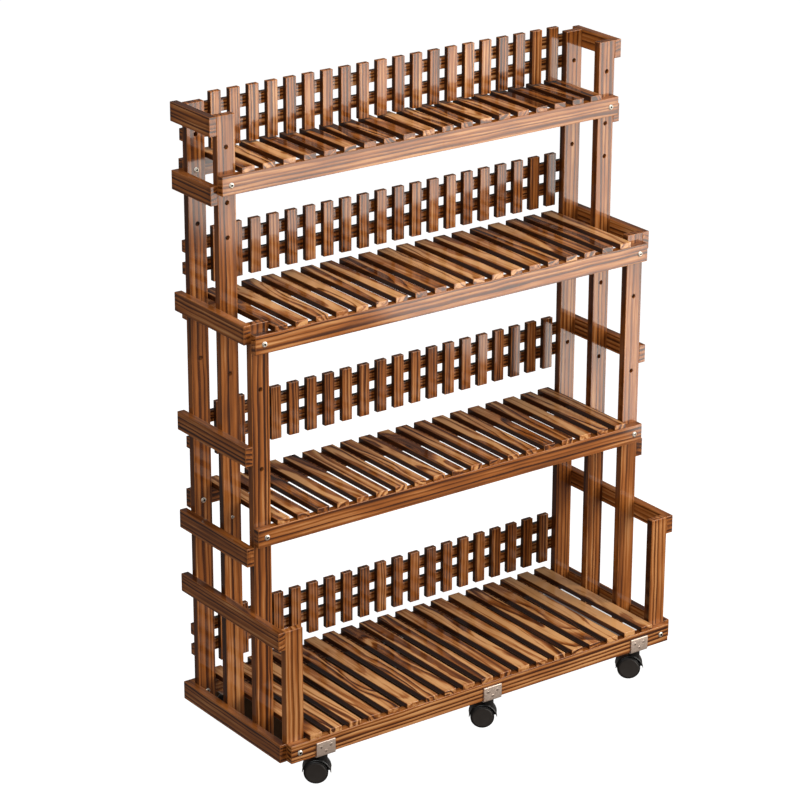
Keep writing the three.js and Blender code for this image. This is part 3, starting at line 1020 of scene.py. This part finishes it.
def along_axle(bm, x=0.0, z=0.0):
    """The body turned so that its z axis lies along y, at that x and z."""
    return moved(bm, axes(X_AXIS, -Z_AXIS, Y_AXIS, (x, 0, z)))


def prism(points, half):
    """An outline of (x, z) points, drawn out along y to half a width either way."""
    bm = bmesh.new()
    face = bm.faces.new([bm.verts.new((x, -half, z)) for x, z in points])
    grown = bmesh.ops.extrude_face_region(bm, geom=[face])["geom"]
    grown = [part for part in grown if isinstance(part, bmesh.types.BMVert)]
    bmesh.ops.translate(bm, vec=(0, 2 * half, 0), verts=grown)
    bmesh.ops.recalc_face_normals(bm, faces=bm.faces)
    return bm


def hood_mesh():
    """Collar, hood and web, on the swivel axis at the plate's underside."""
    sizes = bpy.context.scene.cart_casters
    outer = sizes.hood_radius
    inner = outer - sizes.hood_wall
    half = sizes.hood_width / 2
    hood_x = -sizes.swivel_trail + sizes.hood_offset
    axle_z = -sizes.axle_drop
    groove = 0.0004
    groove_at = half - 0.0052
    profile = [
        (0, -half), (outer, -half), (outer, -groove_at - groove), (outer - groove, -groove_at),
        (outer - groove, groove_at), (outer, groove_at + groove), (outer, half), (0, half),
    ]
    profile = rounded(profile, 6, sizes.hood_shoulder, 5)
    profile = rounded(profile, 1, sizes.hood_shoulder, 5)
    barrel = along_axle(turned(profile, BARREL_FLATS), hood_x, axle_z)
    top = -sizes.clearance
    collar = [(0, axle_z), (sizes.collar_radius, axle_z), (sizes.collar_radius, top), (0, top)]
    collar = turned(rounded(collar, 2, 0.0008, 3), COLLAR_FLATS)
    body = combined(barrel, collar, "UNION")
    lip = math.radians(22)
    tip = outer - sizes.hood_wall / 4
    steps = 36
    arc = [lip + (math.pi - 2 * lip) * index / steps for index in range(steps + 1)]
    bay = [(tip, 0)] + [(inner * math.cos(a), inner * math.sin(a)) for a in arc]
    bay += [(-tip, 0), (-tip, -inner), (tip, -inner)]
    bay = moved(prism(bay, 2 * half), Matrix.Translation((hood_x, 0, axle_z)))
    below = block((-4 * outer, -2 * half, axle_z - 2 * outer), (4 * outer, 2 * half, axle_z))
    body = combined(combined(body, bay, "DIFFERENCE"), below.copy(), "DIFFERENCE")
    web_half = sizes.web_thickness / 2
    web = disc(inner + sizes.hood_wall / 2, -web_half, web_half, BARREL_FLATS)
    web = combined(along_axle(web, hood_x, axle_z), below, "DIFFERENCE")
    boss = disc(sizes.boss_radius, -web_half, web_half, COLLAR_FLATS)
    along_axle(boss, -sizes.swivel_trail, axle_z)
    return combined(combined(body, web, "UNION"), boss, "UNION")


class CART_OT_caster_hoods(bpy.types.Operator):
    """Add the moulded hood of each caster, with its steel stem and axle"""

    bl_idname = "cart.caster_hoods"
    bl_label = "Caster hoods"

    def execute(self, context):
        sizes = context.scene.cart_casters
        hood = hood_mesh()
        head_top = sizes.plate_thickness - sizes.clearance
        stem = turned(stem_profile(0, sizes.collar_radius * 0.5, head_top), HEAD_FLATS)
        radius, end = sizes.axle_radius, sizes.axle_half
        profile = [(0, -end), (radius, -end), (radius, end), (0, end)]
        for corner in (2, 1):
            profile = rounded(profile, corner, 0.0006)
        axle = along_axle(turned(profile, HEAD_FLATS), -sizes.swivel_trail, -sizes.axle_drop)
        for name in caster_names():
            node = f"{name}_caster_hood"
            body = f"{name}_swivel"
            at = caster_frame(name)
            moulding = moved(hood.copy(), at)
            finished(f"{node}_moulding", moulding, hood_plastic(), body, [node])
            for part, template in (("stem", stem), ("axle", axle)):
                piece = moved(template.copy(), at)
                finished(f"{name}_caster_{part}", piece, bolt_steel(), body)
        for template in (hood, stem, axle):
            template.free()
        return {"FINISHED"}


def wheel_mesh():
    """Tread and rim, with its inner face on z 0 and a recess for the hub on top."""
    sizes = bpy.context.scene.cart_casters
    face = sizes.wheel_width - sizes.hub_step
    bore = sizes.axle_radius + sizes.clearance
    depth = sizes.axle_half + sizes.clearance - sizes.web_thickness / 2 - sizes.side_clearance
    seat = face - 0.0012
    profile = [
        (0, depth), (bore, depth), (bore, 0), (sizes.wheel_radius, 0), (sizes.wheel_radius, face),
        (sizes.hub_radius + 0.0004, face), (sizes.hub_radius, seat), (0, seat),
    ]
    profile = rounded(profile, 4, sizes.tread_rounding, 6)
    profile = rounded(profile, 3, 0.0008, 3)
    return turned(profile, BARREL_FLATS)


def hub_mesh():
    """The disc in the wheel's face: a bevelled rim and a face that is a little hollow."""
    sizes = bpy.context.scene.cart_casters
    face = sizes.wheel_width - sizes.hub_step
    radius = sizes.hub_radius - 0.0001
    top = sizes.wheel_width
    profile = [
        (0, face - 0.0011), (radius, face - 0.0011), (radius, face), (radius - 0.0007, top - 0.0001),
        (radius - 0.0012, top), (radius * 0.84, top - 0.0002), (radius * 0.5, top - 0.00035),
        (0, top - 0.0004),
    ]
    return turned(profile, BARREL_FLATS)


class CART_OT_caster_wheels(bpy.types.Operator):
    """Add both wheels of each caster, with a hub disc in each"""

    bl_idname = "cart.caster_wheels"
    bl_label = "Caster wheels"

    def execute(self, context):
        sizes = context.scene.cart_casters
        inner = sizes.web_thickness / 2 + sizes.side_clearance
        wheel = wheel_mesh()
        hub = hub_mesh()
        for name in caster_names():
            for number, sign in ((1, -1), (2, 1)):
                node = f"{name}_caster_wheel_{number}"
                body = f"{name}_wheel_{number}"
                place = (-sizes.swivel_trail, sign * inner, -sizes.axle_drop)
                at = caster_frame(name) @ axes(X_AXIS * sign, -Z_AXIS, Y_AXIS * sign, place)
                for part, template, look in (("tread", wheel, tread_plastic), ("hub", hub, hub_plastic)):
                    piece = moved(template.copy(), at)
                    finished(f"{node}_{part}", piece, look(), body, [node])
        wheel.free()
        hub.free()
        return {"FINISHED"}


# ---- stage ----


def floor_finish(name):
    """Pale paper. The camera sees it glow, but for the shadow under the lowest deck.

    Reflections see it dim.
    """
    stage = bpy.context.scene.cart_stage
    f = Finish(bpy.data.materials.new(name))
    seen = f.node("LightPath", output="Is Camera Ray")
    mirrored = f.node("LightPath", output="Is Glossy Ray")
    mirrored = mirrored + f.node("LightPath", output="Is Transmission Ray")
    at = f.node("TexCoord", output="Object")
    x, y, _ = f.parts(at)
    bright = seen * (1 - f.band(x, *SHADOW_X) * f.band(y, *SHADOW_Y))
    glow = bright * stage.floor_glow + mirrored * stage.mirror_glow
    fibre = f.noise(at, scale=900, detail=2.0)
    paper = f.mix(fibre * 0.06, stage.floor_colour, (0.3, 0.3, 0.3))
    paper = f.mix(1 - bright, paper, stage.floor_shade)
    lit = f.node("BsdfDiffuse", inputs={"Color": paper})
    light = f.node("Emission", inputs={"Color": (1, 1, 1), "Strength": glow})
    both = f.node("AddShader", inputs={0: lit, 1: light})
    f.node("OutputMaterial", inputs={"Surface": both})
    return f.owner


def add_panel(name, at, facing, up, width, height, radiance, tint=(1, 1, 1)):
    """A soft rectangular lamp of that radiance, which the camera doesn't see."""
    lamp = bpy.data.lights.new(name, "AREA")
    lamp.shape = "RECTANGLE"
    lamp.size = width
    lamp.size_y = height
    lamp.energy = radiance * math.pi * width * height
    lamp.color = tint
    panel = bpy.data.objects.new(name, lamp)
    back = -Vector(facing).normalized()
    side = Vector(up).cross(back).normalized()
    panel.matrix_world = axes(side, back.cross(side), back, at)
    panel.visible_camera = False
    bpy.context.scene.collection.objects.link(panel)


class CART_OT_stage(bpy.types.Operator):
    """Set the camera, the floor, the lamps and the world"""

    bl_idname = "cart.stage"
    bl_label = "Stage"

    def execute(self, context):
        stage = context.scene.cart_stage
        camera = bpy.data.cameras.new("camera")
        camera.lens = stage.camera_lens
        camera.sensor_width = 36
        camera.clip_end = 200
        viewer = bpy.data.objects.new("camera", camera)
        turn = Matrix.Rotation(-stage.camera_yaw, 4, "Z")
        turn = turn @ Matrix.Rotation(math.pi / 2 + stage.camera_pitch, 4, "X")
        turn = turn @ Matrix.Rotation(-stage.camera_roll, 4, "Z")
        viewer.matrix_world = Matrix.Translation(stage.camera_place) @ turn
        context.scene.collection.objects.link(viewer)
        context.scene.camera = viewer

        ground = bmesh.new()
        bmesh.ops.create_grid(ground, x_segments=1, y_segments=1, size=stage.floor_size / 2)
        floor = object_of(ground, "floor")
        floor.data.materials.append(material("pale_floor", floor_finish))

        right, top, left = stage.panel_radiance, stage.top_radiance, stage.fill_radiance
        tint = stage.panel_tint
        add_panel("right_panel", (1.08, -1.8, 1.0), (-1, 0, 0), Z_AXIS, 2.4, 2.0, right, tint)
        add_panel("top_panel", (-0.4, -0.7, 2.9), (0.1, 0.2, -1), Y_AXIS, 2.4, 1.6, top)
        add_panel("left_panel", (-2.4, -1.9, 1.9), (2.4, 1.9, -1.3), Z_AXIS, 1.5, 1.5, left)

        world = bpy.data.worlds.new("world")
        f = Finish(world)
        seen = f.node("LightPath", output="Is Camera Ray")
        strength = seen * (1 - stage.world_strength) + stage.world_strength
        even = f.node("Background", inputs={"Color": (1, 1, 1), "Strength": strength})
        f.node("OutputWorld", inputs={"Surface": even})
        context.scene.world = world
        context.scene.view_settings.view_transform = "Standard"
        return {"FINISHED"}


# ---- panel and registration ----

STEPS = (
    CART_OT_stage,
    CART_OT_posts,
    CART_OT_side_rails,
    CART_OT_shelf_rails,
    CART_OT_slats,
    CART_OT_fences,
    CART_OT_bolts,
    CART_OT_post_screws,
    CART_OT_caster_plates,
    CART_OT_caster_hoods,
    CART_OT_caster_wheels,
)


class CART_PT_steps(bpy.types.Panel):
    """Lists the steps that build the stand, and its sizes and colours"""

    bl_label = "Flower cart stand"
    bl_idname = "CART_PT_steps"
    bl_space_type = "VIEW_3D"
    bl_region_type = "UI"
    bl_category = "Flower cart"

    def draw(self, context):
        for step in STEPS:
            self.layout.operator(step.bl_idname)
        for name in GROUPS:
            group = getattr(context.scene, name)
            column = self.layout.box().column()
            for setting in group.bl_rna.properties:
                if setting.identifier not in ("rna_type", "name"):
                    column.prop(group, setting.identifier)


CLASSES = (*GROUPS.values(), *STEPS, CART_PT_steps)


def register():
    for one in CLASSES:
        bpy.utils.register_class(one)
    for name, group in GROUPS.items():
        setattr(bpy.types.Scene, name, PointerProperty(type=group))


def unregister():
    for name in GROUPS:
        delattr(bpy.types.Scene, name)
    for one in reversed(CLASSES):
        bpy.utils.unregister_class(one)


def main():
    register()
    for step in STEPS:
        group, name = step.bl_idname.split(".")
        getattr(getattr(bpy.ops, group), name)()


if __name__ == "__main__":
    main()
